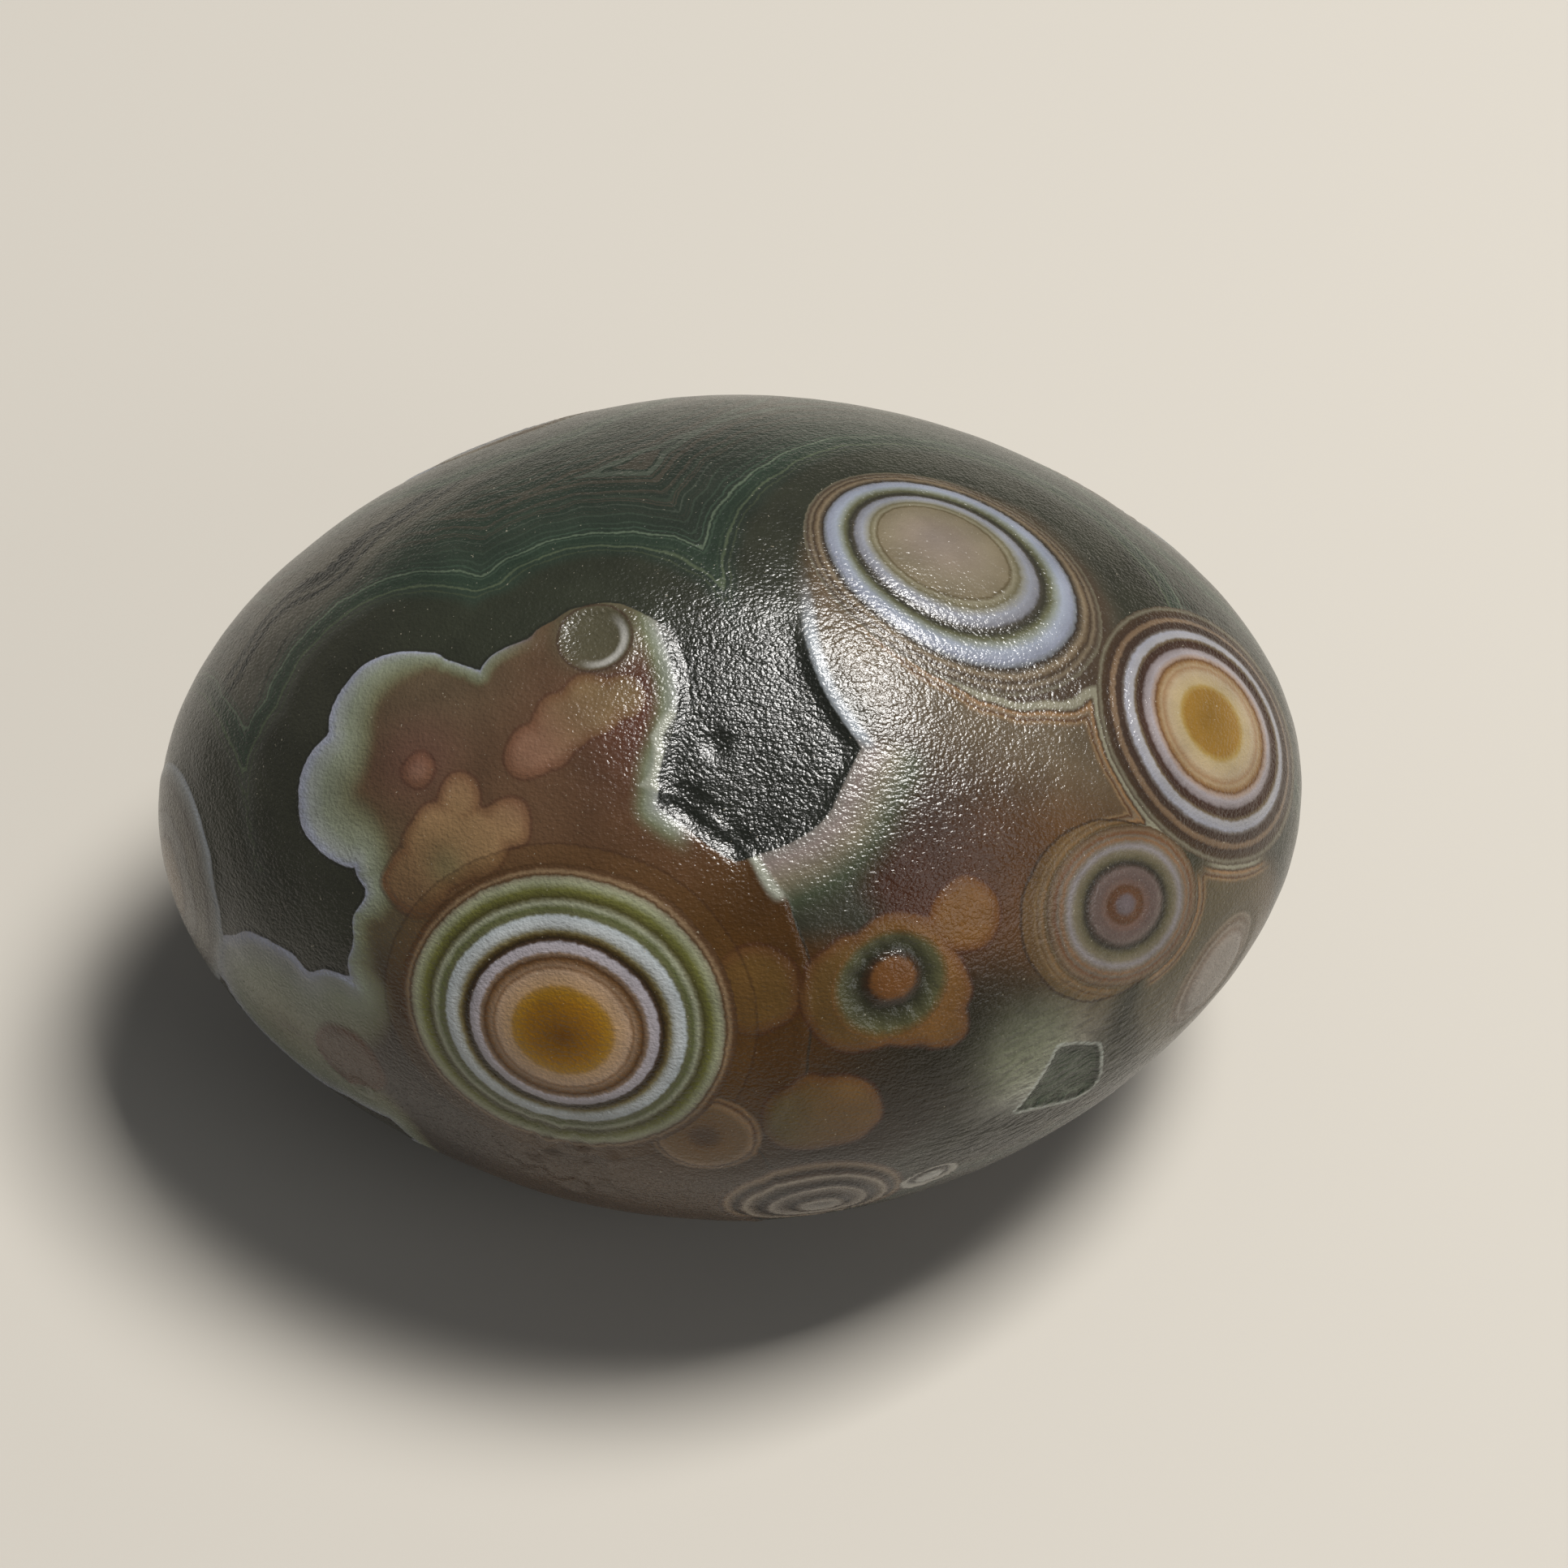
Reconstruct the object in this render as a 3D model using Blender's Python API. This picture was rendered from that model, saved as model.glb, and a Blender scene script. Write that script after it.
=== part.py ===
"""Eye agate: a water-worn pebble of banded chalcedony, one solid, in metres with +Z up.

X runs along the stone's length. The origin is on the ground under the middle of the stone, which
rests on a small worn flat. Places on the stone are a longitude, counted from +X towards +Y, and a
latitude, both in degrees.
"""

import math

import bmesh
import bpy
import numpy as np
from mathutils import Vector

# Pebble, before the flat is worn off below
HALF_LENGTH = 0.0164
HALF_WIDTH = 0.01255
HALF_HEIGHT = 0.0111
REST_FLAT_DEPTH = 0.00035

# Shares by which the pebble departs from an ellipsoid
FULLNESS = 0.064
WIDTH_TAPER = -0.032
HEIGHT_TAPER = -0.09
BLUNTNESS = -0.044
LEAN = -0.021

# Icosphere level whose facets are about 1 mm wide on this stone
FACET_LEVEL = 5

# Broad hollows worn into the softer dark patches: longitude, latitude, reach, depth
HOLLOWS = {
    "dark_bay": (-94.0, 65.0, 0.0052, 0.00026),
    "silky_saddle": (-33.0, 59.0, 0.0040, 0.00014),
    "left_bay": (-166.0, 38.0, 0.0048, 0.00014),
    "lower_patch": (-60.0, 10.0, 0.0036, 0.00012),
    "back_hollow": (75.0, 10.0, 0.0060, 0.00016),
}

# Round pits: longitude, latitude, radius at the mouth, depth
PITS = {
    "round_dimple": (-152.7, 71.5, 0.00100, 0.00018),
    "bay_low_dent": (-104.7, 55.8, 0.00085, 0.00014),
    "bay_mid_dent": (-102.1, 65.5, 0.00055, 0.00010),
    "ring_pit_heart": (-76.9, 30.4, 0.00060, 0.00012),
}

# Grooves worn along the softer dark rings of the eyes:
# longitude, latitude, radius, short-to-long ratio, turn of the long axis from east, depth
GROOVES = {
    "great_eye_inner": (-113.0, 25.8, 0.00285, 0.93, 0.0, 0.00011),
    "great_eye_outer": (-112.9, 27.4, 0.00430, 0.91, 0.0, 0.00010),
    "upper_eye_inner": (10.0, 69.0, 0.00275, 0.82, -22.0, 0.00011),
    "upper_eye_outer": (6.0, 69.0, 0.00395, 0.84, -22.0, 0.00010),
    "right_eye_inner": (-13.2, 34.3, 0.00270, 0.92, 0.0, 0.00011),
    "right_eye_outer": (-14.9, 35.3, 0.00370, 0.92, 0.0, 0.00010),
    "grey_eye": (-44.2, 28.3, 0.00130, 0.90, 0.0, 0.00012),
    "ring_pit": (-76.9, 31.9, 0.00125, 0.95, 0.0, 0.00016),
    "front_eye": (-88.7, -3.0, 0.00175, 0.85, 0.0, 0.00010),
    "back_eye": (118.0, 22.0, 0.00290, 0.95, 0.0, 0.00010),
}
GROOVE_TOOL_RADIUS = 0.0003
GROOVE_STEP = 0.0009


def pebble(directions):
    """The stone's skin for rows of unit directions: an ellipsoid that swells a little towards its
    four sides in plan, narrows in width and height along X, and has one blunter end and side."""
    x, y, z = directions.T
    swell = 1.0 + FULLNESS * (x**4 + y**4 - 0.4)
    along = HALF_LENGTH * (x + BLUNTNESS * (x * x - 1.0 / 3.0)) * swell
    across = HALF_WIDTH * (y + LEAN * (y * y - 1.0 / 3.0)) * (1.0 + WIDTH_TAPER * x) * swell
    upward = HALF_HEIGHT * z * (1.0 + HEIGHT_TAPER * x) * swell
    return np.stack([along, across, upward], axis=1)


def direction(longitude, latitude):
    """Unit vector of a place on the stone."""
    lon, lat = math.radians(longitude), math.radians(latitude)
    return np.array([math.cos(lat) * math.cos(lon), math.cos(lat) * math.sin(lon), math.sin(lat)])


def worn(directions):
    """The skin with the broad hollows: each sinks by its depth under a smooth cosine dish."""
    points = pebble(directions)
    inward = -directions / np.linalg.norm(directions, axis=1)[:, None]
    sunk = np.zeros(len(points))
    for longitude, latitude, reach, depth in HOLLOWS.values():
        middle = pebble(direction(longitude, latitude)[None])[0]
        share = np.clip(np.linalg.norm(points - middle, axis=1) / reach, 0.0, 1.0)
        sunk += depth * (0.5 + 0.5 * np.cos(math.pi * share))
    return points + inward * sunk[:, None]


def place(longitude, latitude):
    """Point on the worn skin, its outward normal, and the east and north directions there."""
    step = 0.05
    here = direction(longitude, latitude)
    corners = np.stack([
        here,
        direction(longitude + step, latitude),
        direction(longitude, latitude + step),
    ])
    point, east_point, north_point = worn(corners)
    east = east_point - point
    east /= np.linalg.norm(east)
    normal = np.cross(east, north_point - point)
    normal /= np.linalg.norm(normal)
    return point, normal, east, np.cross(normal, east)


def nearest_skin(targets):
    """Directions whose skin points lie under the targets, found by repeated correction."""
    directions = targets / np.linalg.norm(targets, axis=1)[:, None]
    scale = np.array([HALF_LENGTH, HALF_WIDTH, HALF_HEIGHT])
    for _ in range(12):
        directions += (targets - worn(directions)) / scale * 0.8
        directions /= np.linalg.norm(directions, axis=1)[:, None]
    return directions


def ring_path(longitude, latitude, radius, ratio, turn, lift):
    """Closed path round a place, at the radius along the skin, lifted off it by a constant."""
    point, normal, east, north = place(longitude, latitude)
    count = max(16, round(2.0 * math.pi * radius / GROOVE_STEP))
    angle = np.arange(count) * 2.0 * math.pi / count
    u = radius * np.cos(angle)
    v = radius * ratio * np.sin(angle)
    tilt = math.radians(turn)
    across = u * math.cos(tilt) - v * math.sin(tilt)
    along = u * math.sin(tilt) + v * math.cos(tilt)
    targets = point + across[:, None] * east + along[:, None] * north
    # The stone curves away from the flat ring, so each target drops with the square of its radius.
    drop = (across**2 + along**2) / (2.0 * np.linalg.norm(point))
    skin = worn(nearest_skin(targets - normal * drop[:, None]))
    outward = skin / np.linalg.norm(skin, axis=1)[:, None] + normal
    outward /= np.linalg.norm(outward, axis=1)[:, None]
    return skin + outward * lift


def chalcedony():
    """Satin grey-green stone, with the mean colour of the banded body."""
    material = bpy.data.materials.new("chalcedony")
    material.use_nodes = True
    shader = material.node_tree.nodes["Principled BSDF"]
    shader.inputs["Base Color"].default_value = (0.075, 0.060, 0.032, 1.0)
    shader.inputs["Roughness"].default_value = 0.42
    shader.inputs["Metallic"].default_value = 0.0
    material.diffuse_color = (0.30, 0.27, 0.18, 1.0)
    return material


def stone_mesh():
    """The worn pebble from an icosphere, standing on its flat with the origin below its middle.

    Returns the mesh and the shift from the formula's frame to the part's frame."""
    sphere = bmesh.new()
    bmesh.ops.create_icosphere(sphere, subdivisions=FACET_LEVEL, radius=1.0)
    directions = np.array([corner.co for corner in sphere.verts])
    directions /= np.linalg.norm(directions, axis=1)[:, None]
    points = worn(directions)
    low, high = points.min(axis=0), points.max(axis=0)
    shift = -(low + high) / 2.0
    shift[2] = -(low[2] + REST_FLAT_DEPTH)
    for corner, point in zip(sphere.verts, points + shift):
        corner.co = Vector(point)
    cut = bmesh.ops.bisect_plane(
        sphere,
        geom=sphere.verts[:] + sphere.edges[:] + sphere.faces[:],
        plane_co=(0.0, 0.0, 0.0),
        plane_no=(0.0, 0.0, -1.0),
        clear_outer=True,
    )
    rim = [edge for edge in cut["geom_cut"] if isinstance(edge, bmesh.types.BMEdge)]
    bmesh.ops.contextual_create(sphere, geom=rim)
    bmesh.ops.recalc_face_normals(sphere, faces=sphere.faces[:])
    mesh = bpy.data.meshes.new("agate_pebble")
    sphere.to_mesh(mesh)
    sphere.free()
    mesh.shade_smooth()
    mesh.set_sharp_from_angle(angle=math.radians(25.0))
    return mesh, shift


def pit_cutter(name, pit, shift):
    """Ball whose cap bites a round pit of the given mouth radius and depth."""
    longitude, latitude, mouth, depth = pit
    point, normal, _, _ = place(longitude, latitude)
    radius = (mouth**2 + depth**2) / (2.0 * depth)
    ball = bmesh.new()
    bmesh.ops.create_uvsphere(ball, u_segments=64, v_segments=48, radius=radius)
    mesh = bpy.data.meshes.new(name)
    ball.to_mesh(mesh)
    ball.free()
    cutter = bpy.data.objects.new(name, mesh)
    # The pole faces the stone, where the ball's facets are smallest.
    cutter.rotation_euler = Vector(normal).to_track_quat("Z", "Y").to_euler()
    cutter.location = Vector(point + normal * (radius - depth) + shift)
    return cutter


def groove_cutter(name, groove, shift):
    """Closed tube that follows the skin and bites a groove of the given depth."""
    *ring, depth = groove
    path = ring_path(*ring, GROOVE_TOOL_RADIUS - depth) + shift
    curve = bpy.data.curves.new(name, "CURVE")
    curve.dimensions = "3D"
    curve.bevel_depth = GROOVE_TOOL_RADIUS
    curve.bevel_resolution = 1
    spline = curve.splines.new("POLY")
    spline.points.add(len(path) - 1)
    spline.points.foreach_set("co", np.c_[path, np.ones(len(path))].ravel())
    spline.use_cyclic_u = True
    guide = bpy.data.objects.new(name + "_path", curve)
    bpy.context.scene.collection.objects.link(guide)
    graph = bpy.context.evaluated_depsgraph_get()
    mesh = bpy.data.meshes.new_from_object(guide.evaluated_get(graph))
    bpy.data.objects.remove(guide)
    tube = bmesh.new()
    tube.from_mesh(mesh)
    bmesh.ops.remove_doubles(tube, verts=tube.verts[:], dist=1e-6)
    bmesh.ops.recalc_face_normals(tube, faces=tube.faces[:])
    tube.to_mesh(mesh)
    tube.free()
    return bpy.data.objects.new(name, mesh)


def cut(stone, cutter, tools):
    """Take the cutter out of the stone, and keep it as a hidden wire helper."""
    tools.objects.link(cutter)
    cutter.hide_render = True
    cutter.display_type = "WIRE"
    bite = stone.modifiers.new(cutter.name, "BOOLEAN")
    bite.operation = "DIFFERENCE"
    bite.solver = "EXACT"
    bite.object = cutter


def build():
    for old in list(bpy.data.objects):
        bpy.data.objects.remove(old)
    agate = bpy.data.collections.new("eye_agate")
    tools = bpy.data.collections.new("cutters")
    for collection in (agate, tools):
        bpy.context.scene.collection.children.link(collection)

    mesh, shift = stone_mesh()
    stone = bpy.data.objects.new("agate_pebble", mesh)
    stone.data.materials.append(chalcedony())
    agate.objects.link(stone)
    for name, pit in PITS.items():
        cut(stone, pit_cutter(name, pit, shift), tools)
    for name, groove in GROOVES.items():
        cut(stone, groove_cutter(name, groove, shift), tools)


build()
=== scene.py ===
"""Eye agate pebble: the banded skin of one water-worn stone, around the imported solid.

The mesh is in metres. The pattern's sizes are in millimetres along the skin, and tones are written
in 0-255 steps. Places seen in the photograph are its pixels, and hidden ones a longitude, counted
from +X towards +Y, and a latitude.
"""
import math

import bpy
import numpy as np
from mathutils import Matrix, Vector
from mathutils.bvhtree import BVHTree


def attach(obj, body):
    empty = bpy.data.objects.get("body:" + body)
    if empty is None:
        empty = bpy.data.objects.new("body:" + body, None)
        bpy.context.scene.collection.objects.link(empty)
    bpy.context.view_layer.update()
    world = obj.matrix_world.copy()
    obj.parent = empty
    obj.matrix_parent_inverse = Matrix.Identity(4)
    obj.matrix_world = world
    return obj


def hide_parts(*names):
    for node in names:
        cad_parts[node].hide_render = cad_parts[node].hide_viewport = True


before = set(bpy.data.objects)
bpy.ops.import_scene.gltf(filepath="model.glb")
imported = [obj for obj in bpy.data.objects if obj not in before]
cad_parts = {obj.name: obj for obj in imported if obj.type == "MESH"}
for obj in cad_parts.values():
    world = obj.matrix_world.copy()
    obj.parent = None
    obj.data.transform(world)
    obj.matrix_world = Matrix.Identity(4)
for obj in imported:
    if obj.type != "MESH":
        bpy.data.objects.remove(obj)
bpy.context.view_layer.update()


# Form of the stone
# One piece of chalcedony that filled a cavity in lava and was rolled in a river until it was egg
# shaped. It has one blunter end and side, broad hollows in its softer patches and a small flat below.
HALF_LENGTH = 0.0164
HALF_WIDTH = 0.01255
HALF_HEIGHT = 0.0111
REST_FLAT_DEPTH = 0.00035
FULLNESS = 0.064
WIDTH_TAPER = -0.032
HEIGHT_TAPER = -0.09
BLUNTNESS = -0.044
LEAN = -0.021
MM = 0.001

# Cells of the skin's grid along X, Y and Z, each about 0.2 mm wide
CELLS = (152, 124, 108)

# Longitude, latitude, reach and depth in metres
HOLLOWS = {
    "dark_bay": (-94.0, 65.0, 0.0052, 0.00026),
    "silky_saddle": (-33.0, 59.0, 0.0040, 0.00014),
    "left_bay": (-166.0, 38.0, 0.0048, 0.00014),
    "lower_patch": (-60.0, 10.0, 0.0036, 0.00012),
    "back_hollow": (75.0, 10.0, 0.0060, 0.00016),
}


def closed_grid(cells):
    """Unit directions, quads and unwrapped corners of a box gridded on its six sides and blown up
    to a ball. Each side's two parameters are turned by the tangent, so that its cells stay even,
    and the lattice points that neighbouring sides share are one vertex."""
    cells = np.array(cells)
    quads, unwrapped = [], []
    for axis in range(3):
        a, b = (axis + 1) % 3, (axis + 2) % 3
        i, j = np.meshgrid(np.arange(cells[a]), np.arange(cells[b]), indexing="ij")
        for side in (0, 1):
            turns = [(0, 0), (1, 0), (1, 1), (0, 1)] if side else [(0, 1), (1, 1), (1, 0), (0, 0)]
            corner = np.empty(i.shape + (4, 3), int)
            for number, (step_a, step_b) in enumerate(turns):
                corner[..., number, axis] = side * cells[axis]
                corner[..., number, a] = i + step_a
                corner[..., number, b] = j + step_b
            quads.append(corner.reshape(-1, 4, 3))
            share = corner[..., [a, b]] / cells[[a, b]] * 0.98 + 0.01
            unwrapped.append(((share + [axis, side]) / [3.0, 2.0]).reshape(-1, 2))
    corners = np.concatenate(quads).reshape(-1, 3)
    lattice, index = np.unique(corners, axis=0, return_inverse=True)
    spread = np.tan((lattice / cells * 2.0 - 1.0) * math.pi / 4.0)
    directions = spread / np.linalg.norm(spread, axis=1)[:, None]
    return directions, index.reshape(-1, 4), np.concatenate(unwrapped)


def direction(longitude, latitude):
    """Unit vector of a place on the stone."""
    lon, lat = math.radians(longitude), math.radians(latitude)
    return np.array([math.cos(lat) * math.cos(lon), math.cos(lat) * math.sin(lon), math.sin(lat)])


def pebble(directions):
    """Skin under unit directions: an ellipsoid that swells a little towards its four sides in plan,
    narrows in width and height along X, and has one blunter end and side."""
    x, y, z = directions.T
    swell = 1.0 + FULLNESS * (x**4 + y**4 - 0.4)
    along = HALF_LENGTH * (x + BLUNTNESS * (x * x - 1.0 / 3.0)) * swell
    across = HALF_WIDTH * (y + LEAN * (y * y - 1.0 / 3.0)) * (1.0 + WIDTH_TAPER * x) * swell
    upward = HALF_HEIGHT * z * (1.0 + HEIGHT_TAPER * x) * swell
    return np.stack([along, across, upward], axis=1)


def worn(directions):
    """The skin with the broad hollows: each sinks by its depth under a smooth cosine dish."""
    points = pebble(directions)
    sunk = np.zeros(len(points))
    for longitude, latitude, reach, depth in HOLLOWS.values():
        middle = pebble(direction(longitude, latitude)[None])[0]
        share = np.clip(np.linalg.norm(points - middle, axis=1) / reach, 0.0, 1.0)
        sunk += depth * (0.5 + 0.5 * np.cos(math.pi * share))
    return points - directions * sunk[:, None]


directions, quads, unwrapped = closed_grid(CELLS)
skin = worn(directions)
lowest, highest = skin.min(axis=0), skin.max(axis=0)
shift = -(lowest + highest) / 2.0
shift[2] = -(lowest[2] + REST_FLAT_DEPTH)
skin += shift

# The outward normal is the ellipsoid's own.
outward = directions / np.array([HALF_LENGTH, HALF_WIDTH, HALF_HEIGHT])
outward /= np.linalg.norm(outward, axis=1)[:, None]
skin_tree = BVHTree.FromPolygons(skin.tolist(), quads.tolist())
skin_mm = skin / MM


# The view
# The photograph was taken from about 13 cm off, over the front of the stone and looking down on it.
# A marking seen there is placed where the line of sight through its pixel meets the stone.
IMAGE_SIDE = 1932.0
VIEW_AZIMUTH = math.radians(2.9)
VIEW_ELEVATION = math.radians(56.0)
VIEW_DISTANCE = 0.133
VIEW_ANGLE = math.radians(20.0)
MIDDLE_PIXEL = (923.3, 981.2)

ahead = np.array([
    math.sin(VIEW_AZIMUTH) * math.cos(VIEW_ELEVATION),
    math.cos(VIEW_AZIMUTH) * math.cos(VIEW_ELEVATION),
    -math.sin(VIEW_ELEVATION),
])
rightward = np.array([math.cos(VIEW_AZIMUTH), -math.sin(VIEW_AZIMUTH), 0.0])
upright = np.cross(rightward, ahead)
eye_place = shift - ahead * VIEW_DISTANCE

camera = bpy.data.objects.new("camera", bpy.data.cameras.new("camera"))
camera.data.sensor_width = 36.0
camera.data.lens = 18.0 / math.tan(VIEW_ANGLE / 2.0)
camera.data.shift_x = 0.5 - MIDDLE_PIXEL[0] / IMAGE_SIDE
camera.data.shift_y = MIDDLE_PIXEL[1] / IMAGE_SIDE - 0.5
camera.data.clip_start = 0.01
camera.location = Vector(eye_place)
camera.rotation_euler = Vector(ahead).to_track_quat("-Z", "Y").to_euler()
bpy.context.scene.collection.objects.link(camera)
bpy.context.scene.camera = camera


def seen_at(pixel):
    """Point of the skin under a pixel, in millimetres, and its outward normal."""
    reach = math.tan(VIEW_ANGLE / 2.0) / (IMAGE_SIDE / 2.0)
    across = (pixel[0] - MIDDLE_PIXEL[0]) * reach
    down = (pixel[1] - MIDDLE_PIXEL[1]) * reach
    sight = Vector(ahead + rightward * across - upright * down)
    point, normal, _, _ = skin_tree.ray_cast(Vector(eye_place), sight)
    return np.array(point) / MM, np.array(normal)


def hidden_at(longitude, latitude):
    """Point of the skin at a longitude and latitude, in millimetres, and its outward normal."""
    point = worn(direction(longitude, latitude)[None])[0] + shift
    point, normal, _, _ = skin_tree.find_nearest(Vector(point))
    return np.array(point) / MM, np.array(normal)


def spot(place):
    """A place is a pixel that shows it, or for a hidden one ("at", longitude, latitude)."""
    return hidden_at(*place[1:]) if place[0] == "at" else seen_at(place)


def skin_axes(normal):
    """Two directions along the skin: as near as can be to the picture's right, and to its up."""
    across = rightward - normal * (rightward @ normal)
    across /= np.linalg.norm(across)
    return across, np.cross(normal, across)


# Growth fronts
# The bands grew outwards from centres on the cavity's wall, so each front is an envelope of balls
# that met in sharp cusps. Inside the first white front the stone is brown, and outside it dark green.
FRONTS = {
    "great": ((700, 1240), 6.70),
    "left": ((440, 975), 2.08),
    "scallop": ((488, 893), 2.30),
    "scallop_right": ((530, 902), 2.15),
    "notch": ((650, 846), 1.50),
    "dimple": ((735, 840), 2.42),
    "crease": ((755, 930), 1.40),
    "between": ((650, 965), 3.05),
    "between_low": ((548, 1032), 2.95),
    "lower_left": ((350, 1262), 3.05),
    "lower_left_below": ((428, 1300), 2.90),
    "under_great": ((620, 1425), 3.90),
    "under_great_right": ((820, 1455), 3.00),
    "hidden_under_great": (("at", -112.0, -26.0), 5.4),
    "hidden_back": (("at", 118.0, 20.0), 3.5),
    "hidden_low_back": (("at", 84.0, -12.0), 3.4),
    "hidden_end": (("at", 160.0, -22.0), 3.6),
    "hidden_right_back": (("at", 38.0, 4.0), 3.3),
    "hidden_below": (("at", -60.0, -58.0), 5.0),
}
RIGHT_FRONTS = {
    "upper": ((1197, 750), 5.02),
    "right": ((1270, 1000), 5.6),
    "lower_right": ((1240, 1230), 4.2),
    "low": ((1010, 1330), 4.4),
    "right_end": ((1500, 1180), 3.6),
}
ISLAND = (("at", -169.0, 3.5), 3.35)

# The older bands on the back's left flank bow round this place, at this distance.
FLANK = (("at", 140.0, -60.0), 17.9)

# The pale curtain behind the left front narrows here, within this reach.
CURTAIN_GAP = ((425, 1150), 3.0)
CURTAIN_WIDTH = 0.42
CURTAIN_WIDTH_AT_END = 3.32
FRONT_LIP = 0.035
FRONT_GROOVE = 0.030
ISLAND_STEP = 0.060


def skin_ripple(wavelength, seed, waves=30):
    """Smooth unevenness of about unit size over the skin: a sum of waves of nearly one length, in
    millimetres, that run in random directions."""
    random = np.random.default_rng(seed)
    heading = random.normal(size=(waves, 3))
    heading /= np.linalg.norm(heading, axis=1)[:, None]
    lengths = wavelength * random.uniform(0.75, 1.4, waves)
    phase = random.uniform(0.0, 2.0 * math.pi, waves)
    total = np.zeros(len(skin_mm))
    for line, length, start in zip(heading, lengths, phase):
        total += np.sin(skin_mm @ line * (2.0 * math.pi / length) + start)
    return total / math.sqrt(waves / 2.0) / 1.5


def bump_at(distance, reach):
    """Soft hill of height one that falls to nothing at its reach."""
    return 0.5 + 0.5 * np.cos(math.pi * np.clip(np.abs(distance) / reach, 0.0, 1.0))


def step_at(value, edge, blur):
    """Nothing below the edge and one above it, with a smooth rise of the blur's width."""
    share = np.clip((value - edge) / blur + 0.5, 0.0, 1.0)
    return share * share * (3.0 - 2.0 * share)


# Every marking adds its fields here, and its height in millimetres to the relief.
fields = {}
relief = np.zeros(len(skin))
drift = skin_ripple(3.2, 11)
waver = skin_ripple(1.1, 12)


def distance_to(place):
    """Straight distance of every vertex to a place on the skin."""
    return np.linalg.norm(skin_mm - spot(place)[0], axis=1)


def envelope(balls):
    """Distance outside the nearest of several balls, negative inside."""
    return np.min([distance_to(place) - radius for place, radius in balls.values()], axis=0)


def depth_inside(front):
    """Depth in from a front's whole edge: the distance to the nearest vertex beside the edge, put
    right by that vertex's own small distance from it. Outside the front the value is nought. The
    squared distance of two points is the sum of their squares less twice their product."""
    beside = np.flatnonzero(np.abs(front) < 0.12)
    edge = skin_mm[beside]
    depth = np.zeros(len(front))
    for batch in np.array_split(np.flatnonzero(front < 0.0), 60):
        here = skin_mm[batch]
        nearest = ((edge**2).sum(axis=1) - 2.0 * here @ edge.T).argmin(axis=1)
        distance = np.linalg.norm(here - edge[nearest], axis=1)
        depth[batch] = np.maximum(distance - front[beside[nearest]], 0.0)
    return depth


left_front = envelope(FRONTS) + 0.05 * waver
left_depth = depth_inside(left_front)
right_front = envelope(RIGHT_FRONTS) + 0.05 * waver
island_front = distance_to(ISLAND[0]) - ISLAND[1] + 0.04 * waver
fields["left_front"] = left_front
towards_end = step_at(-skin_mm[:, 0], 10.5, 5.0)
curtain_width = CURTAIN_WIDTH + (CURTAIN_WIDTH_AT_END - CURTAIN_WIDTH) * towards_end
narrow = 1.0 - 0.85 * bump_at(distance_to(CURTAIN_GAP[0]), CURTAIN_GAP[1])
fields["curtain"] = left_depth / (curtain_width * narrow)
fields["curtain_cover"] = np.maximum(
    step_at(-skin_mm[:, 0], 6.3, 2.4), step_at(skin_mm[:, 1], 5.0, 3.0)
)
fields["flank"] = distance_to(FLANK[0]) - FLANK[1] + 0.10 * drift
fields["right_front"] = right_front
fields["island_front"] = island_front
fields["outer_front"] = np.minimum(np.minimum(left_front, right_front), island_front) + 0.05 * drift
relief += FRONT_LIP * bump_at(left_front + 0.16, 0.25)
relief -= FRONT_GROOVE * bump_at(left_front - 0.06, 0.16)
relief += ISLAND_STEP * step_at(-island_front, 0.0, 0.5)
relief += 0.010 * drift + 0.004 * waver


# Dark bay
# Where the fronts left a gap the last growth is near-black green. It is the softest stone here, so
# it is worn into a shallow bay with a leathery floor, a crease on its left and three dents.
BAY_OUTLINE = [
    (812, 700), (806, 752), (822, 799), (833, 838), (836, 870), (825, 914), (812, 945), (810, 994),
    (810, 994), (844, 1019), (885, 1052), (908, 1062), (908, 1062), (984, 1037), (1022, 1006),
    (1035, 975), (1061, 921), (1061, 921), (1019, 863), (1000, 819), (990, 780), (984, 730),
    (965, 680), (890, 660),
]
BAY_MIDDLE = (925, 880)
BAY_DEPTH = 0.085
BAY_RIM = 0.040

# Place, reach and depth of each dent in the bay's floor
BAY_DENTS = [((846, 1000), 0.9, 0.10), ((882, 917), 0.6, 0.07), ((905, 1040), 0.55, 0.05)]

# A flat-floored window low on the right, of the same dark stone
LOWER_WINDOW = [
    (1304, 1290), (1304, 1290), (1328, 1285), (1352, 1286), (1352, 1286), (1354, 1328),
    (1336, 1347), (1296, 1359), (1250, 1368), (1250, 1368), (1278, 1336),
]
LOWER_WINDOW_MIDDLE = (1318, 1325)
WINDOW_RIM = 0.05
WINDOW_DEPTH = 0.08


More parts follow.
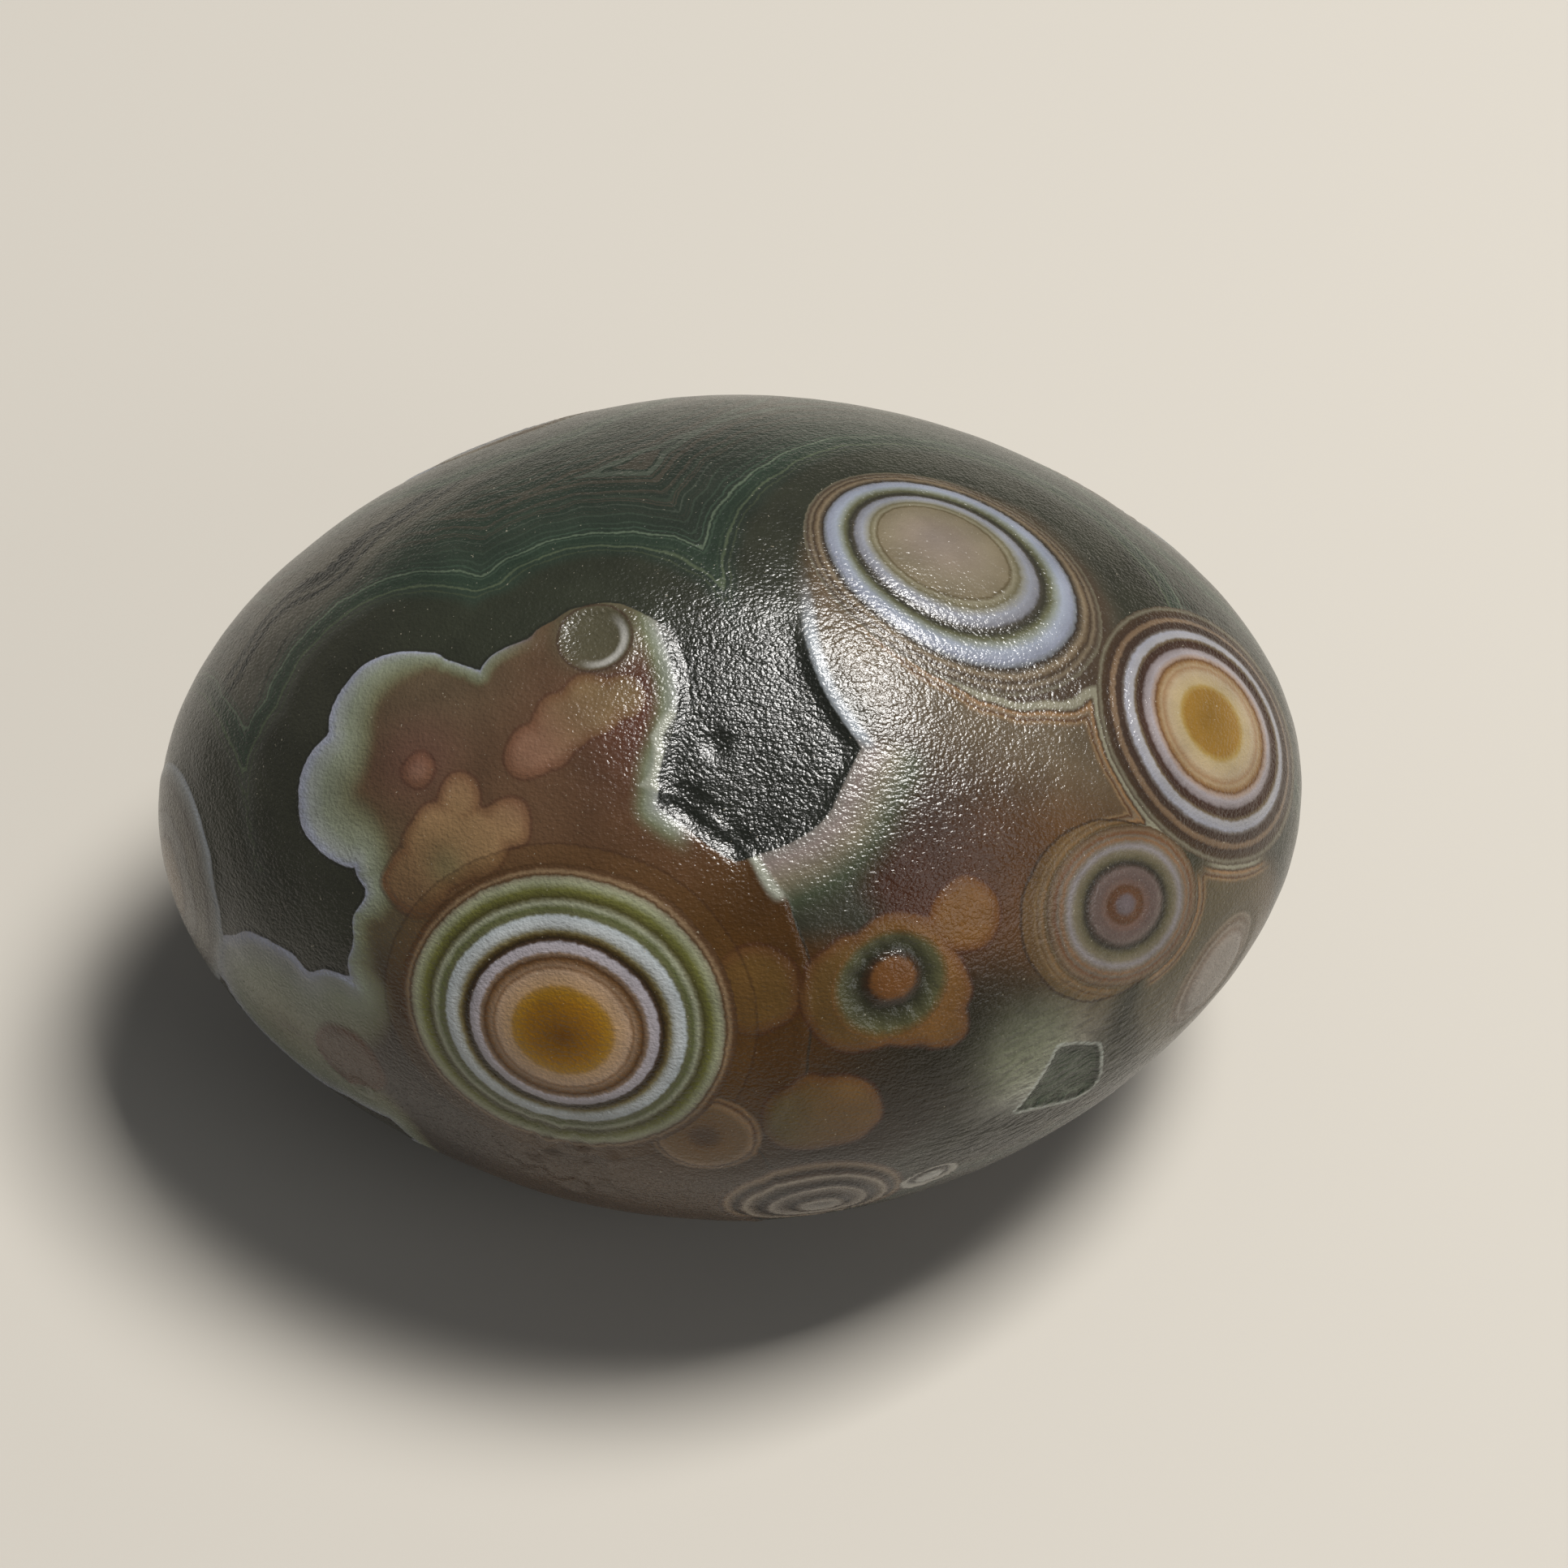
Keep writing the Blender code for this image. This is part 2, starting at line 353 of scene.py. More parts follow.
def outline_distance(outline, middle, rounds=2):
    """Distance outside a closed outline on the skin, negative inside, measured on the plane that
    touches the stone at its middle. Corners are cut twice to round the outline, except where a
    point is given twice."""
    origin, normal = spot(middle)
    across, up = skin_axes(normal)
    flat = np.stack([across, up], axis=1)
    ring = np.array([(seen_at(pixel)[0] - origin) @ flat for pixel in outline])
    for _ in range(rounds):
        after = np.roll(ring, -1, axis=0)
        ring = np.stack([ring * 0.75 + after * 0.25, ring * 0.25 + after * 0.75], axis=1)
        ring = ring.reshape(-1, 2)
    here = (skin_mm - origin) @ flat
    nearest = np.full(len(here), np.inf)
    inside = np.zeros(len(here), bool)
    for start, end in zip(ring, np.roll(ring, -1, axis=0)):
        edge = end - start
        if edge @ edge < 1e-9:  # the two ends of a kept corner are one point
            continue
        share = np.clip((here - start) @ edge / (edge @ edge), 0.0, 1.0)
        nearest = np.minimum(nearest, np.linalg.norm(here - start - share[:, None] * edge, axis=1))
        crosses = (start[1] > here[:, 1]) != (end[1] > here[:, 1])
        rise = edge[1] if edge[1] else 1e-9
        inside ^= crosses & (here[:, 0] < start[0] + (here[:, 1] - start[1]) * edge[0] / rise)
    nearest = np.where(inside, -nearest, nearest)
    return np.where(outward @ normal > 0.2, nearest, 9.0)


bay = outline_distance(BAY_OUTLINE, BAY_MIDDLE) + 0.014 * waver
bay_origin, bay_normal = spot(BAY_MIDDLE)
bay_across, bay_up = skin_axes(bay_normal)
bay_x, bay_y = (skin_mm - bay_origin) @ bay_across, (skin_mm - bay_origin) @ bay_up
bay_angle = np.degrees(np.arctan2(bay_y, bay_x))
bay_top = step_at(bay_y, 2.6, 2.6)
pink_side = step_at(bay_angle, -112.0, 14.0) * (1.0 - step_at(bay_angle, -12.0, 10.0))
white_side = step_at(bay_angle, -14.0, 8.0) * (1.0 - step_at(bay_angle, 62.0, 24.0))
left_side = 1.0 - step_at(bay_angle, -118.0, 14.0) + step_at(bay_angle, 130.0, 24.0)
fields["bay"] = bay
fields["bay_cover"] = 1.0 - bay_top
fields["pink_side"] = pink_side
fields["white_side"] = white_side
fields["left_side"] = left_side
fields["rim_side"] = 1.0 - step_at(bay_angle, -70.0, 6.0)
window = outline_distance(LOWER_WINDOW, LOWER_WINDOW_MIDDLE) + 0.02 * waver
fields["window"] = window
relief -= BAY_DEPTH * step_at(-bay, 0.12, 0.5) * (1.0 - bay_top)
relief += BAY_RIM * bump_at(bay - 0.12, 0.35) * (1.0 - bay_top) * (white_side + 0.5 * left_side)
relief += WINDOW_RIM * bump_at(window - 0.05, 0.3) - WINDOW_DEPTH * step_at(-window, 0.10, 0.22)
for place, reach, depth in BAY_DENTS:
    relief -= depth * bump_at(distance_to(place), reach)


# Orange lobes
# Small rounded growths of iron-stained chalcedony inside the brown stone. Each has a thin dark red
# outline, and they stand a hair above what is round them.
LOBES = {
    "hand_finger": ((566, 984), 0.66),
    "hand_thumb": ((624, 1014), 0.74),
    "hand_palm": ((545, 1042), 1.20),
    "hand_palm_right": ((590, 1036), 0.95),
    "hand_heel": ((512, 1086), 1.00),
    "tongue_top": ((766, 856), 0.66),
    "tongue": ((728, 868), 0.95),
    "tongue_low": ((694, 890), 0.90),
    "beside_great": ((930, 1220), 1.25),
    "below_great": ((996, 1377), 1.32),
    "below_great_right": ((1032, 1372), 1.28),
    "ring_pit_left": ((1062, 1225), 1.68),
    "ring_pit_right": ((1128, 1222), 1.62),
    "ring_pit_top": ((1110, 1190), 1.55),
    "ring_pit_lobe": ((1189, 1128), 1.05),
    "ring_pit_low": ((1162, 1262), 0.80),
    "hidden_back_a": (("at", 95.0, 2.0), 1.3),
    "hidden_back_b": (("at", 88.0, 8.0), 0.9),
    "hidden_back_c": (("at", 150.0, -16.0), 1.2),
    "hidden_below_a": (("at", -70.0, -50.0), 1.3),
    "hidden_below_b": (("at", -56.0, -44.0), 0.9),
}
PINK_LOBES = {
    "pink_tip": ((654, 926), 0.74),
    "pink_tip_right": ((680, 915), 0.70),
    "pink_spot": ((516, 948), 0.50),
    "low_left": ((430, 1304), 1.25),
}
LOBE_HEIGHT = 0.022
LOBE_OUTLINE = 0.016

lobes = envelope(LOBES) + 0.05 * waver + 0.03 * drift
pink_lobes = envelope(PINK_LOBES) + 0.04 * waver
fields["lobes"] = np.minimum(lobes, pink_lobes)
relief += LOBE_HEIGHT * step_at(-fields["lobes"], 0.05, 0.3)
relief -= LOBE_OUTLINE * bump_at(fields["lobes"], 0.12)


# Eyes
# Round centres with regular rings of white, lavender, amber and olive chalcedony. The dark rings are
# softer, so they are worn into grooves, and the pale ones stand a hair proud between them.
def eye_radius(heart, rim, growth, ratio=1.0, turn=0.0):
    """Radius in millimetres of the ring through each vertex. A ring is an ellipse on the skin with
    this short-to-long ratio, its long axis turned from the picture's right. Its middle moves evenly
    from the heart to the rim as its radius grows, which makes the radius a root of a quadratic."""
    middle, normal = spot(heart)
    across, up = skin_axes(normal)
    tilt = math.radians(turn)
    long_axis = across * math.cos(tilt) + up * math.sin(tilt)
    short_axis = np.cross(normal, long_axis)
    away = skin_mm - middle
    u, v, w = away @ long_axis, away @ short_axis / ratio, away @ normal
    slide = (spot(rim)[0] - middle) / growth
    slide_u, slide_v = slide @ long_axis, slide @ short_axis / ratio
    squared = 1.0 - slide_u**2 - slide_v**2
    middle_term = u * slide_u + v * slide_v
    return (np.sqrt(middle_term**2 + squared * (u * u + v * v + w * w)) - middle_term) / squared


# Heart and rim, radius at the rim, short-to-long ratio and turn in degrees. The relief then gives
# radius and height, both in millimetres.
EYES = {
    "great_eye": ((692, 1277), (694, 1259), 4.76, 0.91, 0.0, [
        (0.0, -0.02), (1.3, 0.0), (2.25, -0.012), (2.55, 0.02), (2.72, 0.01), (2.88, -0.055),
        (3.12, 0.01), (3.35, 0.022), (3.58, -0.02), (3.80, 0.005), (3.95, -0.022), (4.3, 0.01),
        (4.55, 0.02), (4.75, -0.012), (5.0, 0.0),
    ]),
    "upper_eye": ((1149, 661), (1179, 697), 4.28, 0.80, -22.0, [
        (0.0, 0.01), (1.9, 0.0), (2.15, 0.015), (2.6, 0.03), (2.95, -0.05), (3.2, 0.01),
        (3.6, 0.04), (3.95, -0.03), (4.15, 0.015), (4.38, -0.02), (4.7, 0.0),
    ]),
    "right_eye": ((1493, 887), (1500, 897), 4.25, 0.88, 0.0, [
        (0.0, 0.0), (1.8, 0.0), (2.1, -0.012), (2.5, 0.025), (2.78, -0.045), (3.15, 0.035),
        (3.5, -0.035), (3.75, 0.015), (4.0, -0.03), (4.5, 0.0),
    ]),
    "grey_eye": ((1388, 1114), (1388, 1118), 2.45, 0.86, 0.0, [
        (0.0, -0.02), (0.25, -0.015), (0.65, -0.05), (0.95, 0.0), (1.25, 0.0), (1.42, -0.05),
        (1.7, 0.0), (2.2, 0.02), (2.5, -0.01), (2.9, 0.0),
    ]),
    "ring_pit": ((1101, 1200), (1098, 1212), 1.60, 0.88, 25.0, [
        (0.0, 0.04), (0.60, 0.02), (0.78, -0.03), (0.95, -0.13), (1.3, -0.05), (1.6, 0.02), (1.9, 0.0),
    ]),
    "front_eye": ((1014, 1486), (1002, 1480), 2.6, 0.90, 0.0, [
        (0.0, -0.06), (0.4, 0.0), (0.75, 0.03), (1.03, -0.08), (1.32, 0.0), (1.55, 0.03),
        (1.78, -0.06), (2.07, 0.03), (2.4, -0.05), (2.9, 0.0),
    ]),
    "amber_eye": ((866, 1402), (870, 1400), 1.6, 0.92, 0.0, [
        (0.0, -0.03), (0.6, 0.0), (1.3, 0.02), (1.5, -0.02), (1.8, 0.0),
    ]),
    "edge_eye": ((1497, 1198), (1496, 1198), 1.90, 0.74, 25.0, [
        (0.0, 0.05), (1.2, 0.05), (1.5, -0.03), (1.75, 0.02), (2.0, -0.04), (2.3, 0.0),
    ]),
    "small_eye": ((1145, 1450), (1145, 1449), 0.75, 0.7, 15.0, [
        (0.0, 0.05), (0.35, 0.03), (0.6, -0.08), (0.9, 0.04), (1.1, 0.0),
    ]),
}

# The eyes on the hidden sides have a place and a scale, and share one relief and one set of rings.
FAR_EYES = {
    "behind": (("at", 118.0, 22.0), 0.75),
    "behind_right": (("at", 48.0, 12.0), 0.72),
    "behind_low": (("at", 86.0, -22.0), 0.55),
    "left_end": (("at", 166.0, -14.0), 0.60),
    "underside": (("at", -62.0, -66.0), 0.80),
    "right_end": (("at", 4.0, -22.0), 0.50),
}
FAR_RELIEF = [
    (0.0, 0.0), (1.8, 0.0), (2.1, -0.012), (2.5, 0.025), (2.78, -0.05), (3.15, 0.03),
    (3.5, -0.03), (3.75, 0.015), (4.0, -0.02), (4.4, 0.0),
]

# A shell round the upper eye that the eyes on the right share, and a halo of the grey eye
UPPER_SHELL = ((1149, 661), (1212, 711), 4.85, 0.80, -22.0)
GREY_HALO = ((1388, 1114), (1364, 1124), 2.80, 0.92)

for name, (heart, rim, growth, ratio, turn, heights) in EYES.items():
    radius = eye_radius(heart, rim, growth, ratio, turn) + 0.008 * waver + 0.02 * drift
    fields[name] = radius
    relief += np.interp(radius, *np.array(heights).T)
far_radius = np.min(
    [eye_radius(place, place, 1.0) / scale for place, scale in FAR_EYES.values()], axis=0
)
fields["far_eyes"] = far_radius + 0.05 * waver
relief += np.interp(fields["far_eyes"], *np.array(FAR_RELIEF).T)
upper_shell = eye_radius(*UPPER_SHELL) + 0.04 * waver
fields["shared_front"] = np.min(
    [upper_shell - 4.55, fields["right_eye"] - 4.30, fields["grey_eye"] - 2.50], axis=0
)
fields["grey_halo"] = eye_radius(*GREY_HALO) + 0.02 * waver
relief -= 0.016 * bump_at(fields["shared_front"] - 0.30, 0.10)
relief -= 0.014 * bump_at(fields["shared_front"] - 0.52, 0.08)
pitted = bump_at(fields["ring_pit"] - 1.15, 0.6)
relief += pitted * (0.05 * skin_ripple(0.45, 31) - 0.01)

# Broken patch under the great eye, where the rings were chipped and healed rough: place and reach
ROUGH_PATCH = ((690, 1428), 1.9)
rough = step_at(-distance_to(ROUGH_PATCH[0]), -ROUGH_PATCH[1], 1.2)
relief += rough * (0.06 * skin_ripple(0.75, 21) + 0.03 * skin_ripple(0.4, 22) - 0.03)

# The stone is wrinkled along its lower right edge, within this reach of a place.
WRINKLED = ((1300, 1370), 7.5)
fields["wrinkled"] = bump_at(distance_to(WRINKLED[0]), WRINKLED[1])

# Round dimple beside the dark bay, and a pit low on the left: place, radius at the mouth and depth
DIMPLE = ((733, 786), 1.06, 0.11)
LEFT_PIT = ((448, 1338), 0.5, 0.10)
PIT_RIM = 0.045
for place, mouth, depth in (DIMPLE, LEFT_PIT):
    away = distance_to(place)
    relief += PIT_RIM * bump_at(away - mouth, 0.25)
    relief -= depth * np.clip(1.0 - (away / mouth) ** 2, 0.0, 1.0)
dimple_middle, dimple_normal = spot(DIMPLE[0])
dimple_across, dimple_up = skin_axes(dimple_normal)
# The lower right side of the dimple's mouth, where its painted highlight crescent lies
lean = (skin_mm - dimple_middle) @ (dimple_across - 0.6 * dimple_up) / DIMPLE[1]
fields["dimple"] = distance_to(DIMPLE[0])
fields["dimple_glint_side"] = step_at(lean, 0.35, 0.9)


# Ground tones
# The stone between the markings is stained in soft clouds, reddish and amber brown inside the
# fronts and grey green outside, paler where it is milky. A few clouds are painted light: a painted
# sheen along the left rim and the lower right rim, and painted shade right of the bay. Each cloud
# is a place, its reach and its tone.
STAINS_AND_SHEEN = {
    "green_left": ((330, 960), 4.5, (52, 53, 46)),
    "green_crown": ((800, 560), 5.0, (30, 38, 31)),
    "green_lines": ((640, 690), 3.0, (44, 56, 45)),
    "grey_back": ((1300, 590), 5.0, (56, 58, 51)),
    # Painted sheen: a paler grey along the left rim
    "painted_sheen_left_rim": ((290, 820), 3.0, (84, 82, 74)),
    "olive_behind": ((1420, 700), 3.0, (42, 40, 32)),
    "hidden_back": (("at", 90.0, 20.0), 9.0, (58, 64, 54)),
    "hidden_low": (("at", 90.0, -40.0), 10.0, (60, 58, 47)),
    "hidden_under": (("at", -90.0, -60.0), 8.0, (66, 60, 48)),
}
WARM_STAINS_SHEEN_AND_SHADE = {
    "brown_left": ((600, 950), 2.6, (90, 68, 50)),
    "red_middle": ((700, 960), 2.0, (80, 56, 42)),
    "olive_by_scallop": ((545, 850), 1.6, (88, 76, 58)),
    "plum_by_spot": ((525, 925), 1.0, (92, 62, 54)),
    "tan_by_hand": ((660, 1010), 1.4, (94, 72, 52)),
    "olive_by_heel": ((460, 1075), 1.2, (84, 74, 54)),
    "red_by_tongue": ((785, 905), 1.3, (78, 44, 32)),
    "grey_dimple": ((733, 786), 0.75, (82, 80, 62)),
    "brown_over_great": ((700, 1050), 2.2, (84, 58, 34)),
    "amber_right_of_great": ((900, 1290), 2.6, (72, 46, 14)),
    "red_by_pit": ((1170, 1060), 2.2, (70, 33, 16)),
    "amber_by_grey": ((1250, 1090), 2.0, (82, 54, 22)),
    # Painted shade: a darker olive right of the bay, where the highlight falls off
    "olive_painted_shade": ((1130, 1000), 2.2, (28, 24, 13)),
    "silky": ((1210, 860), 2.7, (92, 80, 62)),
    "grey_between": ((1370, 760), 1.8, (72, 66, 54)),
    "green_low": ((1205, 1272), 1.8, (34, 33, 20)),
    "dark_low": ((1120, 1360), 2.2, (34, 29, 18)),
    # Painted sheen: pale grey and silver along the lower right rim, a painted reflection of the lit floor
    "painted_sheen_low_rim": ((1290, 1392), 2.3, (222, 222, 212)),
    "painted_sheen_bottom_rim": ((1170, 1444), 1.8, (176, 174, 164)),
    "green_window": ((1258, 1304), 1.15, (128, 132, 106)),
    "brown_low": ((1060, 1420), 2.2, (46, 33, 22)),
    "olive_end": ((1440, 1240), 2.6, (84, 76, 56)),
    "brown_bottom_left": ((430, 1330), 2.6, (56, 44, 34)),
    "green_left_low": ((330, 1210), 2.0, (50, 56, 45)),
    "hidden_warm": (("at", 100.0, 5.0), 8.0, (84, 62, 40)),
    "hidden_warm_under": (("at", -60.0, -60.0), 8.0, (80, 60, 40)),
}
LOBE_STAINS = {
    "hand": ((560, 1030), 2.4, (136, 109, 76)),
    "hand_shade": ((510, 1095), 1.2, (96, 72, 50)),
    "green_speck": ((549, 1068), 0.5, (84, 92, 64)),
    "tongue": ((730, 868), 1.6, (112, 92, 64)),
    "pink": ((648, 930), 1.5, (118, 84, 70)),
    "pink_spot": ((516, 948), 0.9, (104, 70, 66)),
    "beside_great": ((940, 1230), 1.6, (94, 68, 30)),
    "low": ((1035, 1370), 1.4, (104, 76, 38)),
    "low_green": ((965, 1380), 1.0, (74, 66, 34)),
    "ring_pit_left": ((1030, 1240), 1.4, (88, 66, 32)),
    "ring_pit_right": ((1150, 1225), 1.6, (110, 76, 34)),
    "ring_pit_lobe": ((1189, 1128), 1.2, (108, 72, 28)),
    "low_left": ((430, 1304), 1.6, (88, 68, 52)),
    "hidden": (("at", 100.0, 5.0), 9.0, (112, 80, 44)),
    "hidden_below": (("at", -60.0, -50.0), 9.0, (104, 76, 44)),
}


def linear(tone):
    """Linear light of a tone in 0-255 steps."""
    share = np.array(tone, float) / 255.0
    return np.where(share < 0.04045, share / 12.92, ((share + 0.055) / 1.055) ** 2.4)


def clouded(tone_clouds):
    """Tone of every vertex: the clouds of a table, each a stain or painted light, blended by weights that
    fall off as a bell from each.
    """
    total = np.zeros((len(skin), 3))
    weight = np.full(len(skin), 1e-12)
    for place, reach, tone in tone_clouds.values():
        near = np.exp(-((distance_to(place) / reach) ** 2)) + 1e-7 / (1.0 + distance_to(place))
        total += near[:, None] * linear(tone)
        weight += near
    return total / weight[:, None]


cool_ground = clouded(STAINS_AND_SHEEN)
warm_ground = clouded(WARM_STAINS_SHEEN_AND_SHADE)
lobe_ground = clouded(LOBE_STAINS)


# Mesh of the stone
# The whole skin with its relief, laid flat where it rests, and with every field as an attribute.
near_flat = step_at(skin_mm[:, 2], 0.35, 0.5)
skin += outward * (relief * near_flat * MM)[:, None]
skin[:, 2] = np.maximum(skin[:, 2], 0.0)

mesh = bpy.data.meshes.new("agate_skin")
mesh.from_pydata(skin.tolist(), [], quads.tolist())
mesh.shade_smooth()
uv_map = mesh.uv_layers.new(name="OFBake")
uv_map.data.foreach_set("uv", unwrapped.ravel())
for name, values in fields.items():
    mesh.attributes.new(name, "FLOAT", "POINT").data.foreach_set("value", values.astype(np.float32))
grounds = {"cool_ground": cool_ground, "warm_ground": warm_ground, "lobe_ground": lobe_ground}
for name, tones in grounds.items():
    rows = np.c_[tones, np.ones(len(tones))].astype(np.float32)
    mesh.attributes.new(name, "FLOAT_COLOR", "POINT").data.foreach_set("color", rows.ravel())
mesh.update()
stone = bpy.data.objects.new("agate_skin", mesh)
bpy.context.scene.collection.objects.link(stone)


# Finish of the stone
# Chalcedony rolled to a satin skin: a leathery grain of fine facets that glints where the light
# strikes it, over colours that lie in the stone, with a few marks of painted shade, highlight and
# sheen among them. Each colour is laid over the ones before it.
material = bpy.data.materials.new("banded_chalcedony")
material.use_nodes = True
tree = material.node_tree
shader = tree.nodes["Principled BSDF"]
mesh.materials.append(material)


def node(kind, inputs, output=0, **settings):
    """Output of a new shader node. Each input is a number, a colour or another node's output."""
    made = tree.nodes.new(kind)
    for name, value in settings.items():
        setattr(made, name, value)
    for name, value in inputs.items():
        if isinstance(value, bpy.types.NodeSocket):
            tree.links.new(value, made.inputs[name])
        else:
            made.inputs[name].default_value = value
    return made.outputs[output]


def field(name):
    """Value of one of the mesh's fields."""
    return node("ShaderNodeAttribute", {}, "Fac", attribute_name=name)


def ground(name):
    """Colour of one of the mesh's clouded grounds."""
    return node("ShaderNodeAttribute", {}, "Color", attribute_name=name)


def reckon(operation, first, second=0.0, third=0.0):
    """Result of one arithmetic operation on numbers or outputs."""
    return node("ShaderNodeMath", {0: first, 1: second, 2: third}, operation=operation)


def within(value, edge, blur):
    """Mask that is one where the value is below the edge and falls to nothing across the blur."""
    spans = {
        "Value": value, "From Min": edge - blur / 2.0, "From Max": edge + blur / 2.0,
        "To Min": 1.0, "To Max": 0.0,
    }
    return node("ShaderNodeMapRange", spans, interpolation_type="SMOOTHSTEP")


def beyond(value, edge, blur):
    """Mask that is nothing where the value is below the edge and one past the blur."""
    return reckon("SUBTRACT", 1.0, within(value, edge, blur))


def line_at(value, middle, width):
    """Mask of a soft line of this width."""
    away = reckon("ABSOLUTE", reckon("SUBTRACT", value, middle))
    return within(away, width / 2.0, width * 0.8)


def over(below, above, mask, strength=None):
    """Colour with another laid over it by a mask, which a number or a second mask may weaken."""
    share = mask if strength is None else reckon("MULTIPLY", mask, strength)
    return node("ShaderNodeMix", {0: share, 6: below, 7: above}, 2, data_type="RGBA")


def colour(tone):
    """Colour socket value of a tone."""
    return (*linear(tone), 1.0)


def bands(value, stops):
    """Colour along a field. Each stop is a distance in millimetres and a tone."""
    first, last = stops[0][0], stops[-1][0]
    share = node("ShaderNodeMapRange", {"Value": value, "From Min": first, "From Max": last})
    made = node("ShaderNodeValToRGB", {"Fac": share}).node
    ramp = made.color_ramp
    while len(ramp.elements) < len(stops):
        ramp.elements.new(1.0)
    for element, (distance, tone) in zip(ramp.elements, stops):
        element.position = (distance - first) / (last - first)
        element.color = colour(tone)
    return made.outputs["Color"]


object_place = node("ShaderNodeTexCoord", {}, "Object")


def grain(size, detail=2.0, roughness=0.5, stretch=(1.0, 1.0, 1.0)):
    """Noise whose lumps are about this many millimetres across."""
    spread = node("ShaderNodeMapping", {"Vector": object_place, "Scale": stretch})
    return node("ShaderNodeTexNoise", {
        "Vector": spread, "Scale": 1.0 / (size * MM), "Detail": detail, "Roughness": roughness,
    })


def layered(along, scale, roughness):
    """One-dimensional noise along a field, which makes irregular bands."""
    return node("ShaderNodeTexNoise", {
        "W": along, "Scale": scale, "Detail": 3.0, "Roughness": roughness,
    }, noise_dimensions="1D")


def ranged(noise, low, high):
    """Noise, most of which lies between 0.3 and 0.7, spread from the low value to the high."""
    return node("ShaderNodeMapRange", {
        "Value": noise, "From Min": 0.3, "From Max": 0.7, "To Min": low, "To Max": high,
    })


fray_shift = reckon("MULTIPLY_ADD", grain(0.16, 1.0), 0.10, -0.05)


def frayed(name, amount=1.0):
    """A field whose edges fray by a few hundredths of a millimetre, as fine crystals do."""
    return reckon("MULTIPLY_ADD", fray_shift, amount, field(name))


# Ground and growth fronts. Each green line has its distance out from the fronts, its width, its tone
# and its strength.
GREEN_LINES = [
    (1.90, 0.05, (64, 70, 52), 0.6), (2.10, 0.07, (86, 94, 72), 0.8), (2.24, 0.05, (62, 72, 56), 0.6),
    (2.36, 0.50, (40, 54, 42), 0.55), (2.62, 0.06, (92, 104, 86), 0.75), (2.50, 0.05, (62, 76, 62), 0.6),
    (2.78, 0.05, (62, 78, 64), 0.6), (3.00, 0.06, (58, 70, 58), 0.55), (3.35, 0.06, (62, 72, 60), 0.5),
    (4.1, 0.09, (60, 68, 56), 0.4),
]
outer = frayed("outer_front")
warm = ground("warm_ground")
fine_bands = layered(outer, 2.6, 0.65)
far_out = beyond(outer, 3.6, 1.0)
dark_streak = reckon("MULTIPLY", far_out, within(fine_bands, 0.46, 0.10))
pale_streak = reckon("MULTIPLY", far_out, beyond(fine_bands, 0.60, 0.08))
tint = over(ground("cool_ground"), colour((74, 66, 56)), dark_streak, 0.55)
tint = over(tint, colour((86, 92, 80)), pale_streak, 0.45)
tint = over(tint, colour((46, 46, 35)), within(outer, 1.7, 0.5), 0.75)
for distance, width, tone, strength in GREEN_LINES:
    tint = over(tint, colour(tone), line_at(outer, distance, width), strength)
flank = frayed("flank")
flank_mask = reckon("MULTIPLY", line_at(flank, 0.1, 1.2), beyond(outer, 2.8, 0.6))
flank_waves = layered(flank, 6.0, 0.6)
flank_tone = over(colour((30, 30, 26)), colour((84, 80, 70)), within(flank_waves, 0.54, 0.12))
tint = over(tint, flank_tone, flank_mask, 0.8)

right = field("right_front")
tint = over(tint, warm, within(right, -0.3, 1.2))

left = frayed("left_front", 0.4)
curtain_depth = field("curtain")
curtain = bands(curtain_depth, [
    (0.0, (148, 150, 164)), (0.06, (142, 146, 158)), (0.14, (134, 138, 134)), (0.34, (124, 129, 111)),
    (0.72, (108, 108, 84)), (1.20, (88, 76, 52)),
])
curtain_cover = reckon("MULTIPLY", beyond(right, 0.1, 0.6), field("curtain_cover"))
left_ground = over(warm, curtain, within(curtain_depth, 1.02, 0.6), curtain_cover)
tint = over(tint, left_ground, within(left, 0.0, 0.05))
tint = over(tint, colour((34, 34, 28)), line_at(left, 0.05, 0.08), 0.6)

island = frayed("island_front", 0.4)
island_tone = bands(island, [
    (-3.4, (120, 92, 58)), (-2.3, (104, 84, 60)), (-2.1, (70, 54, 42)), (-1.9, (116, 110, 102)),
    (-1.5, (108, 104, 98)), (-1.38, (66, 54, 44)), (-1.2, (98, 92, 80)), (-0.75, (90, 84, 76)),
    (-0.66, (62, 54, 46)), (-0.55, (92, 88, 82)), (-0.3, (112, 114, 112)), (-0.1, (140, 144, 148)),
    (0.0, (118, 122, 126)),
])
tint = over(tint, island_tone, within(island, 0.0, 0.06))

# Lobes
lobe = frayed("lobes", 0.5)
lobe_tone = over(ground("lobe_ground"), colour((84, 48, 28)), beyond(lobe, -0.22, 0.4), 0.5)
tint = over(tint, lobe_tone, within(lobe, -0.02, 0.18))
tint = over(tint, colour((66, 34, 24)), line_at(lobe, 0.03, 0.09), 0.35)

# Lens of the round dimple, with a painted highlight crescent inside its lower right and a painted shade
# ring round its mouth
dimple = frayed("dimple", 0.4)
tint = over(tint, colour((70, 66, 50)), within(dimple, 1.0, 0.25), 0.7)
painted_glint_crescent = reckon("MULTIPLY", line_at(dimple, 0.82, 0.20), field("dimple_glint_side"))
tint = over(tint, colour((168, 166, 160)), painted_glint_crescent, 0.8)
tint = over(tint, colour((58, 42, 32)), line_at(dimple, 1.05, 0.08), 0.7)

